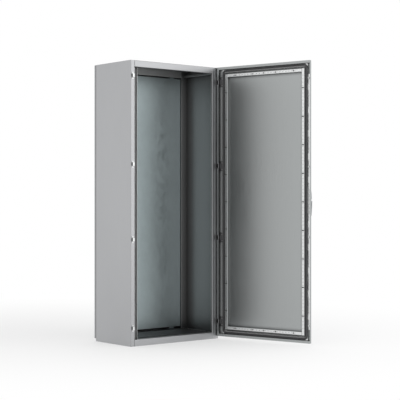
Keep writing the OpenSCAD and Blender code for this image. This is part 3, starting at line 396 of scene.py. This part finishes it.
def satin_casting(name, tone):
    """Coated casting: a satin film with a fine ripple."""
    finish, tree, shader = new_finish(name)
    ripple = noise_value(tree, RIPPLE_SCALE)
    colour = varied(tree, spread(tree, ripple, 0.0, 1.0), tone, CAST_CONTRAST)
    bump = add_node(tree, "ShaderNodeBump", Strength=RIPPLE_STRENGTH, Distance=RIPPLE_HEIGHT, Height=ripple)
    wire(tree, shader, Base_Color=colour, Roughness=spread(tree, ripple, *CAST_ROUGH), Metallic=CAST_METALLIC,
         Normal=bump.outputs["Normal"])
    return finish


foam = foam_rubber("foam_rubber")
casting = satin_casting("satin_casting", (0.36, 0.37, 0.38))
print("soft and cast finishes:", foam.name, casting.name)

# %% [markdown]
# ## Giving the CAD pieces their finishes
# Each CAD piece keeps its shape and takes one finish. Long upright sheets have their grain upright, and the roof,
# the sills and the base have it across. Pieces that the list leaves out are screws, bolts and other turned parts.

# %% Assign finishes
FINISHES = (
    (shell_level, ("roof_panel", "front_sill", "rear_sill")),
    (shell_upright, ("left_side_panel", "right_side_panel", "rear_panel")),
    (door_sheet, ("door_panel",)),
    # The gland plates, the left front upright, the hinge-side door rail, the rear top rail, the seat of the seal and
    # the rods take the finishes that carry painted light and shade.
    (base_sheet_painted_shade, ("gland_plate_front", "gland_plate_middle", "gland_plate_rear")),
    (upright_sheet_painted_light, ("upright_front_left",)),
    (frame_sheet, ("upright_front_right", "upright_rear_left", "upright_rear_right", "top_rail_left",
                   "top_rail_right", "base_rail_front", "base_rail_rear", "base_rail_left", "base_rail_right")),
    (rail_zinc_painted_light_and_shade, ("door_rail_hinge", "top_rail_rear")),
    (zinc_painted_light, ("gasket_seat", "upper_rod", "lower_rod", "rod_guides")),
    (zinc_plate, ("mounting_plate", "plate_foot_left", "plate_foot_right", "plate_hanger_left",
                  "plate_hanger_right")),
    (bright_zinc, ("door_rail_top", "door_rail_bottom", "door_rail_lock", "lock_catches", "lock_cover")),
    (dark_steel, ("hinge_bases", "hinge_leaves", "hinge_pins")),
    (casting, ("swing_handle", "handle_escutcheon")),
    (foam, ("gland_gasket", "rear_gasket", "door_gasket")),
)

finish_of = {name: finish for finish, names in FINISHES for name in names}
for name, piece in frame["nodes"].items():
    piece.data.materials.clear()
    piece.data.materials.append(finish_of.get(name, turned_steel))
print("turned pieces:", sorted(set(frame["nodes"]) - set(finish_of)))

# %% [markdown]
# ## Surfaces from arrays
# The new pieces are surfaces worked out with numpy. Each is a grid of points, and the faces join neighbours on the
# grid. Some grids close on themselves both ways, like a ring, and some run between two poles, like a globe. Door
# pieces are worked out in millimetres with the door shut, which keeps their numbers plain, and are then swung open
# about the hinge.

# %% Surface helpers
MM = 0.001
CREASE = 35.0


def swung(points):
    """Points of the shut door turned about the hinge axis by the opening angle."""
    turn, rise = math.cos(OPEN_ANGLE), math.sin(OPEN_ANGLE)
    matrix = np.array([[turn, -rise, 0.0], [rise, turn, 0.0], [0.0, 0.0, 1.0]])
    return (points - HINGE_PLACE) @ matrix.T + HINGE_PLACE


def ring_faces(rows, columns):
    """Quads of a grid that closes both ways: each row joins the next and each column joins the next."""
    i, j = np.meshgrid(np.arange(rows), np.arange(columns), indexing="ij")
    i_next, j_next = (i + 1) % rows, (j + 1) % columns
    corners = (i * columns + j, i * columns + j_next, i_next * columns + j_next, i_next * columns + j)
    return np.stack(corners, -1).reshape(-1, 4)


def globe_faces(rows, columns):
    """Faces of a grid that closes along its columns, with one pole before its first row and one after its last.
    The poles are the last two points."""
    i, j = np.meshgrid(np.arange(rows - 1), np.arange(columns), indexing="ij")
    here, below = i * columns, (i + 1) * columns
    j_next = (j + 1) % columns
    quads = np.stack((here + j, here + j_next, below + j_next, below + j), -1)
    k = np.arange(columns)
    k_next = (k + 1) % columns
    first = np.full(columns, rows * columns)
    last_row = (rows - 1) * columns
    caps = [np.stack((k_next, k, first), -1), np.stack((last_row + k, last_row + k_next, first + 1), -1)]
    return quads.reshape(-1, 4).tolist() + np.concatenate(caps).tolist()


def new_piece(name, points, faces, finish, body, node, crease=CREASE):
    """A mesh object that rides on a body and stands for a CAD node, if one is named. Its faces are turned outwards,
    and edges sharper than crease degrees stay sharp."""
    mesh = bpy.data.meshes.new(name)
    mesh.from_pydata(np.asarray(points).reshape(-1, 3).tolist(), [], [list(f) for f in faces])
    mesh.materials.append(finish)
    shape = bmesh.new()
    shape.from_mesh(mesh)
    if shape.calc_volume(signed=True) < 0:
        bmesh.ops.reverse_faces(shape, faces=shape.faces)
    shape.to_mesh(mesh)
    volume = shape.calc_volume(signed=True)
    shape.free()
    mesh.shade_smooth()
    mesh.set_sharp_from_angle(angle=math.radians(crease))
    piece = bpy.data.objects.new(name, mesh)
    scene.collection.objects.link(piece)
    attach(piece, body)
    if node:
        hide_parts(node)
    print(f"{name}: {len(mesh.vertices)} points, {volume * 1e6:.1f} cm3")
    return piece


# %% [markdown]
# ## Foam seals
# All three seals are a profile that runs round a rectangle with round corners. Sweeping the profile along that path
# gives one closed ring without joints. The real foam is laid by a nozzle and is never quite even, so the sweep can
# also let the height sink a little, in two slow waves along the path.

# %% Seal path and sweep
CORNERS = np.array([[1, 1], [-1, 1], [-1, -1], [1, -1]])
CORNER_POINTS = 9
WAVES = ((23, 0.0), (57, 1.3))


def rounded_frame(low, high, radius, step):
    """Points along a rectangle with round corners, and at each the direction outwards, going anticlockwise.
    Each corner is a quarter circle, and the straight runs between corners are divided into pieces of about step."""
    centres = np.where(CORNERS > 0, high, low) - radius * CORNERS
    places, outwards = [], []
    for k in range(4):
        angle = np.linspace(k * np.pi / 2, (k + 1) * np.pi / 2, CORNER_POINTS)
        away = np.stack((np.cos(angle), np.sin(angle)), -1)
        arc = centres[k] + radius * away
        next_start = centres[(k + 1) % 4] + radius * away[-1]
        count = max(int(np.linalg.norm(next_start - arc[-1]) / step), 2)
        run = arc[-1] + np.linspace(0, 1, count + 1)[1:-1, None] * (next_start - arc[-1])
        places += [arc, run]
        outwards += [away, np.repeat(away[-1:], len(run), 0)]
    return np.concatenate(places), np.concatenate(outwards)


def swept_seal(path, away, across, height, plane, widths=(1.0, 1.0), waver=0.0):
    """A profile swept around a path. A point of it is path - away * across * width, lifted to plane + height.
    The width goes from widths[0] on runs along the second axis to widths[1] on runs along the first. The height is
    multiplied by 1 - waver * (the waves, moved to lie between 0 and 1), so it only sinks."""
    width = widths[0] * np.abs(away[:, :1]) ** 2 + widths[1] * np.abs(away[:, 1:]) ** 2
    flat = path[:, None, :] - away[:, None, :] * (width * across[None, :])[..., None]
    run = np.linspace(0, 2 * np.pi, len(path), endpoint=False)
    waves = sum(np.sin(count * run + start) for count, start in WAVES)
    sink = waver * (2 + waves) / 4
    lift = plane + height[None, :] * (1 - sink[:, None])
    return flat, lift


# %% [markdown]
# The door's seal is a thin flat layer with a D-shaped bead on its outer edge. The bead meets the shell's flanges.
# A grey sheen is painted on the crown of the bead along the upright runs, and on the top of the flat layer along the
# top and the bottom: painted highlights where light catches the foam.

# %% Door seal
DOOR_SEAL_LOW, DOOR_SEAL_HIGH = (-375.5, 43.5), (349.5, 1976.5)
DOOR_SEAL_RADIUS, DOOR_SEAL_STEP, DOOR_SEAL_WAVER = 24.0, 12.0, 0.05
SEAT_PLANE = -225.5
BEAD_W, BEAD_H, BEAD_POWER = 10.5, 10.1, 0.75
FOAM_W, FOAM_T = 19.0, 3.0
BEAD_FOOT = FOAM_T / 2
LAYER = np.array([[BEAD_W + 0.8, FOAM_T], [FOAM_W - 1.2, FOAM_T], [FOAM_W - 0.3, FOAM_T - 0.5],
                  [FOAM_W, FOAM_T - 1.4], [FOAM_W, 0.0]])
LAYER_TOP = FOAM_T - 0.6
# How grey the painted sheen on the bead's crown is, and from which height it starts.
CROWN_SHEEN, CROWN_FROM, CROWN_RUN = 0.25, 6.0, 3.0

arch = np.linspace(np.pi, 0, 13)
bead_across = BEAD_W / 2 * (1 + np.sign(np.cos(arch)) * np.abs(np.cos(arch)) ** BEAD_POWER)
bead_height = BEAD_FOOT + (BEAD_H - BEAD_FOOT) * np.sin(arch) ** BEAD_POWER
across = np.concatenate(([0.0], bead_across, LAYER[:, 0]))
height = np.concatenate(([0.0], bead_height, LAYER[:, 1]))
path, away = rounded_frame(DOOR_SEAL_LOW, DOOR_SEAL_HIGH, DOOR_SEAL_RADIUS, DOOR_SEAL_STEP)
flat, lift = swept_seal(path, away, across, height, SEAT_PLANE, waver=DOOR_SEAL_WAVER)
points = swung(np.stack((flat[..., 0], lift, flat[..., 1]), -1).reshape(-1, 3) * MM)
door_seal = new_piece("door_seal", points, ring_faces(*lift.shape), foam, "door", "door_gasket")

# The painted sheen: on upright runs the crown of the bead, on level runs the top of the flat layer.
crown = CROWN_SHEEN * np.clip((height - CROWN_FROM) / CROWN_RUN, 0.0, 1.0)
layer = np.where((across > BEAD_W) & (height > LAYER_TOP), 1.0, 0.0)
level = away[:, 1:] ** 2
painted_sheen = level * layer + (1 - level) * crown
door_seal.data.attributes.new("painted_sheen", "FLOAT", "POINT").data.foreach_set("value", painted_sheen.ravel())

# %% [markdown]
# The rear panel's seal is a strip that the panel presses against the shell, so its two sides bulge.

# %% Rear seal
REAR_SEAL_LOW, REAR_SEAL_HIGH = (-376.0, 43.0), (376.0, 1977.0)
REAR_SEAL_RADIUS, REAR_SEAL_STEP = 14.0, 40.0
REAR_SEAL_W = 10.5
REAR_SEAL_Y = (215.0, 233.5)
SIDE_INSET, SIDE_BULGE, BULGE_POWER = 0.6, 0.5, 0.6

side = np.linspace(0, 1, 9)
bulge = SIDE_BULGE * np.sin(np.pi * side) ** BULGE_POWER
across = np.concatenate((SIDE_INSET - bulge, REAR_SEAL_W - SIDE_INSET + bulge[::-1]))
height = np.concatenate((side, side[::-1])) * (REAR_SEAL_Y[1] - REAR_SEAL_Y[0])
path, away = rounded_frame(REAR_SEAL_LOW, REAR_SEAL_HIGH, REAR_SEAL_RADIUS, REAR_SEAL_STEP)
flat, lift = swept_seal(path, away, across, height, REAR_SEAL_Y[0])
points = np.stack((flat[..., 0], lift, flat[..., 1]), -1) * MM
rear_seal = new_piece("rear_seal", points, ring_faces(*lift.shape), foam, "cabinet", "rear_gasket")

# %% [markdown]
# The seal under the gland plates is a flat strip with rounded edges, wider at the two sides than at front and rear.

# %% Seal under the gland plates
GLAND_LOW, GLAND_HIGH = (-350.0, -156.0), (350.0, 146.0)
GLAND_RADIUS, GLAND_STEP = 12.0, 30.0
GLAND_WIDTHS = (11.0, 5.8)
GLAND_Z, GLAND_T = 46.0, 2.0
STRIP = np.array([[0.0, 0.3], [0.0, 0.7], [0.04, 0.92], [0.12, 1.0], [0.88, 1.0],
                  [0.96, 0.92], [1.0, 0.7], [1.0, 0.3], [0.88, 0.0], [0.12, 0.0]])

path, away = rounded_frame(GLAND_LOW, GLAND_HIGH, GLAND_RADIUS, GLAND_STEP)
flat, lift = swept_seal(path, away, STRIP[:, 0], STRIP[:, 1] * GLAND_T, GLAND_Z, GLAND_WIDTHS)
points = np.concatenate((flat, lift[..., None]), -1) * MM
gland_seal = new_piece("gland_seal", points, ring_faces(*lift.shape), foam, "cabinet", "gland_gasket")

# %% [markdown]
# ## The handle
# Seen from the side the handle is one low arch. Its base plate is a casting with a dome that rises towards the hub
# from above, and a shallow trough below, where the fingers go behind the lever. A box with rounded edges would look
# cut from bar. A superellipse, which lies between a rectangle and an ellipse, gives the full outline of a casting.

# %% Base plate
SPINDLE = np.array([-386.0, -239.0, 1010.0])
SPINDLE_AXIS = SPINDLE * (1.0, 0.0, 1.0)
PLATE_GRID = (110, 72)
PLATE_HALF_W, PLATE_HALF_H, PLATE_T = 10.0, 90.0, 6.0
PLATE_POWER, PLATE_SECTION = 7, 4.0
RIM_POWER, RIM_ROUND = 10, 0.4
TROUGH_DEPTH, TROUGH_HALF_W, TROUGH_HALF_H, TROUGH_Z = 1.6, 5.0, 32.0, -52.0
DOME_HEIGHT, DOME_FROM, DOME_RISE, DOME_TOP, DOME_LENGTH = 11.0, 10.5, 12.0, 12.0, 78.0


def full_turn(sides):
    """Angles of one full turn, as a row."""
    return np.linspace(0, 2 * np.pi, sides, endpoint=False)[None, :]


def superellipse(angle, power):
    """Cosine and sine raised to 2 / power with their signs kept: a circle at power 2, near a square at power 8."""
    c, s = np.cos(angle), np.sin(angle)
    return np.sign(c) * np.abs(c) ** (2 / power), np.sign(s) * np.abs(s) ** (2 / power)


def base_plate(rows, sides):
    """Sections across the plate, one at each height z. The half width is w * (1 - |z / h| ** 7) ** (1 / 7). Around a
    section the front stands out by a superellipse's sine times the thickness there, while the back is flat. The
    thickness falls to the ends, has a trough behind the lever, and gains a dome, which rises smoothly just above the
    hub and falls as a parabola to the upper end. The poles are the two ends."""
    z = PLATE_HALF_H * np.sin(np.linspace(-np.pi / 2, np.pi / 2, rows + 2)[1:-1])[:, None]
    share = np.abs(z / PLATE_HALF_H)
    across, out = superellipse(full_turn(sides), PLATE_SECTION)
    x = PLATE_HALF_W * (1 - share ** PLATE_POWER) ** (1 / PLATE_POWER) * across
    trough = TROUGH_DEPTH * np.exp(-(x / TROUGH_HALF_W) ** 4) * np.exp(-((z - TROUGH_Z) / TROUGH_HALF_H) ** 4)
    rise = np.clip((z - DOME_FROM) / DOME_RISE, 0, 1)
    fall = np.clip(1 - ((z - DOME_TOP) / DOME_LENGTH) ** 2, 0, 1)
    dome = DOME_HEIGHT * rise ** 2 * (3 - 2 * rise) * fall
    thickness = (PLATE_T - trough) * (1 - share ** RIM_POWER) ** RIM_ROUND + dome
    grid = np.stack((x, -thickness * np.maximum(out, 0), z + 0.0 * x), -1)
    poles = np.array([[0.0, 0.0, -PLATE_HALF_H], [0.0, 0.0, PLATE_HALF_H]])
    return np.concatenate((grid.reshape(-1, 3), poles)) + SPINDLE


new_piece("handle_base_plate", swung(base_plate(*PLATE_GRID) * MM), globe_faces(*PLATE_GRID), casting, "door",
          "handle_escutcheon")

# %% [markdown]
# The lever is a loft: superellipse sections whose width and thickness change from the hub to the tip, along a middle
# line that bends towards the door. Lofting gives the bend, the taper and the round tip in one surface.

# %% Lever
LEVER_GRID, LEVER_CREASE = (48, 40), 50.0
LEVER_FROM, LEVER_TO = -6.0, -100.0
LEVER_Y, LEVER_BEND, BEND_POWER = -255.5, 6.6, 1.8
LEVER_HALF_W, TAPER_W = 8.8, 1.4
LEVER_HALF_T, TAPER_T = 4.4, 1.6
LEVER_SECTION = 3.2
TIP_FROM, TIP_LENGTH, TIP_LEAST = 0.94, 0.06, 0.02


def lever_loft(rows, sides):
    """Sections along the lever, at shares s of its length that lie closer at both ends. The half width and the half
    thickness fall evenly with s, and at the tip both are multiplied by a quarter circle, so that it closes roundly.
    The middle line bends towards the door as s ** 1.8. The poles are the middles of the two end sections."""
    s = 0.5 - 0.5 * np.cos(np.pi * np.linspace(0, 1, rows)[:, None])
    tip = np.clip(s - TIP_FROM, 0, 1) / TIP_LENGTH
    cap = np.minimum(1, np.sqrt(np.clip(1 - tip ** 2, 0, 1)) + TIP_LEAST)
    across, out = superellipse(full_turn(sides), LEVER_SECTION)
    x = (LEVER_HALF_W - TAPER_W * s) * cap * across
    y = LEVER_Y + LEVER_BEND * s ** BEND_POWER + (LEVER_HALF_T - TAPER_T * s) * cap * out
    z = LEVER_FROM + (LEVER_TO - LEVER_FROM) * s + 0.0 * across
    grid = np.stack((x, y, z), -1)
    poles = np.stack((grid[0].mean(0), grid[-1].mean(0)))
    return np.concatenate((grid.reshape(-1, 3), poles)) + SPINDLE_AXIS


new_piece("handle_lever", swung(lever_loft(*LEVER_GRID) * MM), globe_faces(*LEVER_GRID), casting, "handle",
          "swing_handle", LEVER_CREASE)

# %% [markdown]
# The hub is a turned part: a profile spun about the spindle, with the socket for the key insert in its face.

# %% Hub
HUB_SIDES = 64
HUB = ((0.0, -254.0), (5.3, -254.0), (5.55, -254.2), (5.55, -259.6), (5.8, -260.0), (7.4, -260.0), (8.3, -259.7),
       (8.8, -259.1), (9.0, -258.2), (9.0, -247.0), (8.8, -246.2), (8.2, -245.6), (0.0, -245.5))


def turned(profile, sides):
    """A profile of radius and depth turned about the spindle; its two ends lie on the axis and become the poles."""
    radius, depth = np.array(profile).T
    angle = full_turn(sides)
    r, d = radius[1:-1, None], depth[1:-1, None]
    grid = np.stack((r * np.cos(angle), d + 0.0 * angle, r * np.sin(angle)), -1).reshape(-1, 3)
    poles = np.array([[0.0, depth[0], 0.0], [0.0, depth[-1], 0.0]])
    return np.concatenate((grid, poles)) + SPINDLE_AXIS


new_piece("handle_hub", swung(turned(HUB, HUB_SIDES) * MM), globe_faces(len(HUB) - 2, HUB_SIDES), casting, "handle",
          None)

# %% [markdown]
# ## Rivet heads
# Two rivets hold each hinge leaf to the door. Their bright domes stand out on the dark hinge. Each dome is a curve
# turned about the rivet's axis, and one array operation puts a copy at every rivet.

# %% Hinge rivets
RIVET_GRID = (8, 24)
RIVET_X, RIVET_Y = 363.5, -234.5
RIVET_R, RIVET_H = 4.8, 2.9
SKIRT_R, SKIRT_H = 4.6, 0.4
RADIUS_POWER, HEIGHT_POWER = 0.8, 0.9
HINGE_Z = np.array([-882.0, -263.0, 263.0, 882.0]) + SPINDLE[2]
RIVET_RISE = np.array([-23.5, 23.5])


def rivet_domes(rows, sides):
    """A dome at every rivet: its radius follows a cosine and its height a sine, above a short skirt."""
    arc = np.linspace(0, np.pi / 2, rows)[:-1]
    radius = np.concatenate(([SKIRT_R, RIVET_R], RIVET_R * np.cos(arc) ** RADIUS_POWER))[:, None]
    height = np.concatenate(([-SKIRT_H, 0.0], RIVET_H * np.sin(arc) ** HEIGHT_POWER))[:, None]
    angle = full_turn(sides)
    ring = np.stack((radius * np.cos(angle), height + 0.0 * angle, radius * np.sin(angle)), -1)
    dome = np.concatenate((ring.reshape(-1, 3), [[0.0, -SKIRT_H, 0.0], [0.0, RIVET_H, 0.0]]))
    rises = (HINGE_Z[:, None] + RIVET_RISE[None, :]).ravel()
    places = np.stack((np.full(len(rises), RIVET_X), np.full(len(rises), RIVET_Y), rises), -1)
    faces = globe_faces(len(radius), sides)
    shifted = [[corner + k * len(dome) for corner in face] for k in range(len(places)) for face in faces]
    return (dome[None] + places[:, None]).reshape(-1, 3), shifted


points, faces = rivet_domes(*RIVET_GRID)
new_piece("hinge_rivet_heads", swung(points * MM), faces, turned_steel, "door", None)

# %% [markdown]
# ## The studio
# Floor and backdrop are white. A backdrop that is lit until it is white would also flood the metal with light, so the
# world has two strengths instead: white to the camera and to reflections, and slightly softer to everything else.

# %% World
WHITE = (1.0, 1.0, 1.0, 1.0)
AMBIENT = 0.95

world = bpy.data.worlds.new("studio")
world.use_nodes = True
scene.world = world
sky = world.node_tree
sky.nodes.clear()
rays = add_node(sky, "ShaderNodeLightPath").outputs
seen = number(sky, "MAXIMUM", rays["Is Camera Ray"], rays["Is Glossy Ray"])
seen = number(sky, "MAXIMUM", seen, rays["Is Transmission Ray"])
backdrop = add_node(sky, "ShaderNodeBackground", Color=WHITE, Strength=ramp(sky, seen, AMBIENT, 1.0))
add_node(sky, "ShaderNodeOutputWorld", Surface=backdrop.outputs[0])
print("world:", world.name, "with ambient light", AMBIENT)

# %% [markdown]
# The floor is pale paint, which takes the shadow of the cabinet, mixed with white emission: a painted glow that fills
# in that shadow and fades the floor to the white of the backdrop. The glow's share follows a fixed ellipse on the
# floor with its middle behind the cabinet, and a share of it is mixed in even there.

# %% Floor
FLOOR_HALF = 60.0
FLOOR_PAINT, FLOOR_ROUGH, FLOOR_SPECULAR = (0.87, 0.87, 0.87, 1.0), 0.6, 0.2
FADE_MIDDLE, FADE_HALF = (-0.52, 1.18, 0.0), (4.47, 3.26, 1.0)
FADE_TURN = (0.0, 0.0, CAMERA_YAW)
GLOW_SHARE_AT_MIDDLE = 0.27


def floor_finish():
    """Pale paint with a painted glow: the share of white emission grows, along an S-curve, with the distance from the
    middle of the ellipse, measured in its half axes, and fills in the floor's shadow as it grows."""
    finish, tree, shader = new_finish("floor_paint")
    wire(tree, shader, Base_Color=FLOOR_PAINT, Roughness=FLOOR_ROUGH, Specular_IOR_Level=FLOOR_SPECULAR)
    patch = add_node(tree, "ShaderNodeMapping", {"vector_type": "TEXTURE"}, Vector=own_place(tree),
                     Location=FADE_MIDDLE, Rotation=FADE_TURN, Scale=FADE_HALF)
    distance = vector(tree, "LENGTH", patch.outputs["Vector"], result="Value")
    fade = ramp(tree, distance, GLOW_SHARE_AT_MIDDLE, 1.0, kind="SMOOTHSTEP")
    # Painted light: white emission mixed into the paint, which fills in the floor's shadow away from the ellipse's
    # middle.
    white = add_node(tree, "ShaderNodeEmission", Color=WHITE, Strength=1.0)
    blend = add_node(tree, "ShaderNodeMixShader")
    for socket, value in zip(blend.inputs, (fade, shader.outputs[0], white.outputs[0])):
        feed(tree, socket, value)
    wire(tree, tree.nodes["Material Output"], Surface=blend.outputs[0])
    return finish


corner = np.array([[-1, -1, 0], [1, -1, 0], [1, 1, 0], [-1, 1, 0]], float) * FLOOR_HALF
floor_mesh = bpy.data.meshes.new("floor")
floor_mesh.from_pydata(corner.tolist(), [], [(0, 1, 2, 3)])
floor_mesh.materials.append(floor_finish())
floor = bpy.data.objects.new("floor", floor_mesh)
scene.collection.objects.link(floor)
print("floor:", 2 * FLOOR_HALF, "m square")

# %% [markdown]
# Two large soft lamps give the sheet its gradients. A wide one stands at the front on the right, where the open door
# keeps much of its light off the mounting plate. A weaker one on the left lights the side of the shell and the
# inside of the door.

# %% Lamps
LAMP_AIM = np.array([0.0, -0.2, 1.0])
LAMPS = (("front_box", (3.9, -5.0, 2.3), 4.6, 45.0), ("left_box", (-5.5, -2.5, 3.4), 3.0, 20.0))


def soft_box(name, place, size, power):
    """A square lamp at a place, turned so that it faces the middle of the cabinet."""
    data = bpy.data.lights.new(name, "AREA")
    data.shape = "SQUARE"
    data.size = size
    data.energy = power
    lamp = bpy.data.objects.new(name, data)
    lamp.location = place
    x, y, z = LAMP_AIM - np.array(place)
    lamp.rotation_euler = (math.atan2(math.hypot(x, y), -z), 0.0, math.atan2(-x, y))
    scene.collection.objects.link(lamp)
    print(f"{name}: {power} W, {size} m wide")


for lamp in LAMPS:
    soft_box(*lamp)
